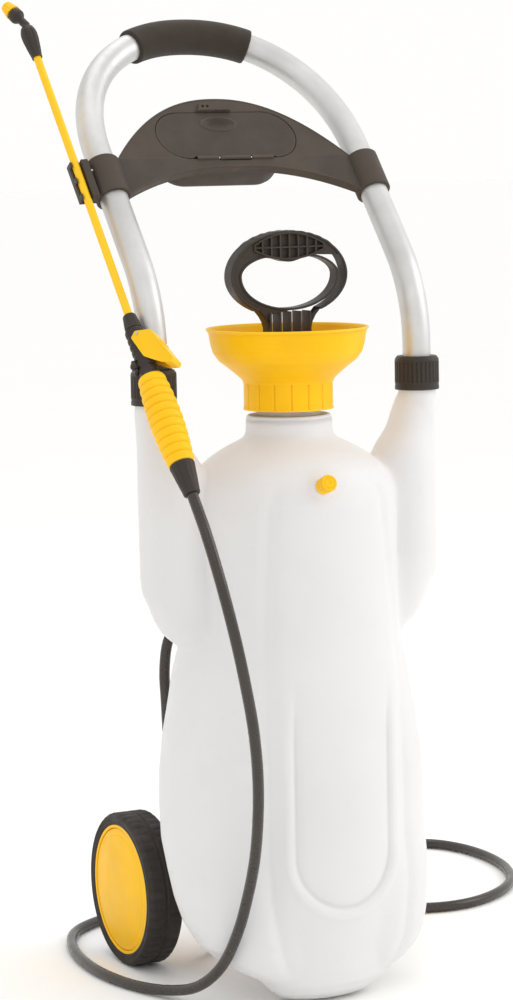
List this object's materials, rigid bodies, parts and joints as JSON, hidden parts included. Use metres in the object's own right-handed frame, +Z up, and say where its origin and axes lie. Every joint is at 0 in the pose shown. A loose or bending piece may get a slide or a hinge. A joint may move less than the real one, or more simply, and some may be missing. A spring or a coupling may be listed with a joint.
{
  "type": "wheeled sprayer cart",
  "caption": "Tall blow-moulded pressure sprayer tank on two wheels, with an arched tube handle, funnel cap with hand pump, tool tray, and a spray lance on a free hose.",
  "frame": {"origin": "on the floor, at the centre of the flat foot under the front of the tank", "axes": "+Z up; -Y is the front of the tank; the wheel axle lies behind, along X"},
  "size_m": [0.631, 0.6301, 0.9985],
  "materials": {
    "tank_white": "translucent natural polyethylene",
    "sprayer_yellow": "satin moulded polypropylene",
    "warm_black": "fine-grained moulded plastic",
    "natural_plastic": "natural plastic",
    "aluminium": "satin tube",
    "steel": "zinc plated",
    "rubber": "matt",
    "tyre": "matt",
    "foam": "soft grip",
    "hose_black": "glossy hose"
  },
  "bodies": {
    "cart": {"tank": "tank_white", "handle_tube": "aluminium", "hand_grip": "foam", "horn_nut_left": "warm_black", "horn_nut_right": "warm_black", "horn_seal_left": "rubber", "horn_seal_right": "rubber", "tray_plate": "warm_black", "tray_bin": "warm_black", "lid_hinge_pin": "steel", "lance_clip": "warm_black", "clip_screw_lower": "steel", "clip_screw_upper": "steel", "lance_cradle": "warm_black", "axle_bracket": "warm_black", "bracket_screw_left": "steel", "bracket_screw_right": "steel", "axle": "steel", "axle_spacer_left": "warm_black", "axle_spacer_right": "warm_black", "axle_retainer_left": "steel", "axle_retainer_right": "steel", "relief_body": "sprayer_yellow", "relief_spring": "steel", "outlet_fitting": "warm_black", "outlet_locknut": "warm_black", "outlet_hose_nut": "warm_black", "pickup_tube": "natural_plastic", "pickup_strainer": "warm_black", "hose": "hose_black"},
    "pump_seat": {"cap_gasket": "rubber"},
    "pump_unit": {"funnel_cap": "sprayer_yellow", "pump_barrel": "natural_plastic", "pump_guide": "warm_black", "check_valve": "rubber"},
    "pump_plunger": {"pump_handle": "warm_black", "pump_rod": "steel", "pump_piston": "natural_plastic", "piston_cup": "rubber"},
    "relief_pull": {"relief_knob": "sprayer_yellow", "relief_seal": "rubber"},
    "lid": {"tray_lid": "warm_black"},
    "wheel_left": {"tyre_left": "tyre", "wheel_rim_left": "sprayer_yellow", "hub_cap_left": "sprayer_yellow"},
    "wheel_right": {"tyre_right": "tyre", "wheel_rim_right": "sprayer_yellow", "hub_cap_right": "sprayer_yellow"},
    "lance": {"lance_tube": "sprayer_yellow", "nozzle_nut": "warm_black", "nozzle_elbow": "warm_black", "lance_nut": "warm_black", "valve_body": "warm_black", "trigger_pin": "steel", "trigger_spring": "steel", "grip_sleeve": "sprayer_yellow", "hose_nut": "warm_black"},
    "spray_cap": {"nozzle_cap": "sprayer_yellow"},
    "trigger_lever": {"trigger": "sprayer_yellow"},
    "valve_pin": {"valve_stem": "steel"}
  },
  "joints": [
    {"name": "cap_lift", "type": "slide", "parent": "cart", "child": "pump_seat", "axis": [0, 0, 1], "range_m": [0, 0.012]},
    {"name": "cap_turn", "type": "hinge", "parent": "pump_seat", "child": "pump_unit", "pos_m": [0, 0.05, 0.6], "axis": [0, 0, 1], "range_deg": [0, 720]},
    {"name": "pump_stroke", "type": "slide", "parent": "pump_unit", "child": "pump_plunger", "axis": [0, 0, 1], "range_m": [0, 0.2]},
    {"name": "relief_lift", "type": "slide", "parent": "cart", "child": "relief_pull", "axis": [0, -0.9397, 0.342], "range_m": [0, 0.003], "stiffness_N_per_m": 300, "springref_m": -0.003},
    {"name": "lid_swing", "type": "hinge", "parent": "cart", "child": "lid", "pos_m": [0, 0.16094, 0.8361], "axis": [1, 0, 0], "range_deg": [0, 110]},
    {"name": "wheel_left_spin", "type": "hinge", "parent": "cart", "child": "wheel_left", "pos_m": [-0.113, 0.2015, 0.08], "axis": [1, 0, 0], "continuous": true},
    {"name": "wheel_right_spin", "type": "hinge", "parent": "cart", "child": "wheel_right", "pos_m": [0.113, 0.2015, 0.08], "axis": [1, 0, 0], "continuous": true},
    {"name": "lance_release", "type": "slide", "parent": "cart", "child": "lance", "axis": [-0.0313, -0.8085, 0.5877], "range_m": [0, 0.06]},
    {"name": "spray_cap_turn", "type": "hinge", "parent": "lance", "child": "spray_cap", "pos_m": [-0.18614, 0.25997, 0.974], "axis": [-0.3045, 0.7531, 0.5833], "range_deg": [0, 270]},
    {"name": "trigger_press", "type": "hinge", "parent": "lance", "child": "trigger_lever", "pos_m": [-0.16687, 0.03282, 0.6672], "axis": [0.7066, 0.5892, -0.3919], "range_deg": [0, 8], "stiffness_Nm_per_rad": 0.5, "springref_deg": -14.9},
    {"name": "valve_push", "type": "slide", "parent": "lance", "child": "valve_pin", "axis": [-0.7063, 0.5536, -0.4412], "range_m": [0, 0.0041]}
  ],
  "couplings": [
    {"joint": "cap_turn", "follows": "cap_lift", "rad_per_m": 1047},
    {"joint": "valve_push", "follows": "trigger_press", "m_per_rad": 0.029}
  ]
}
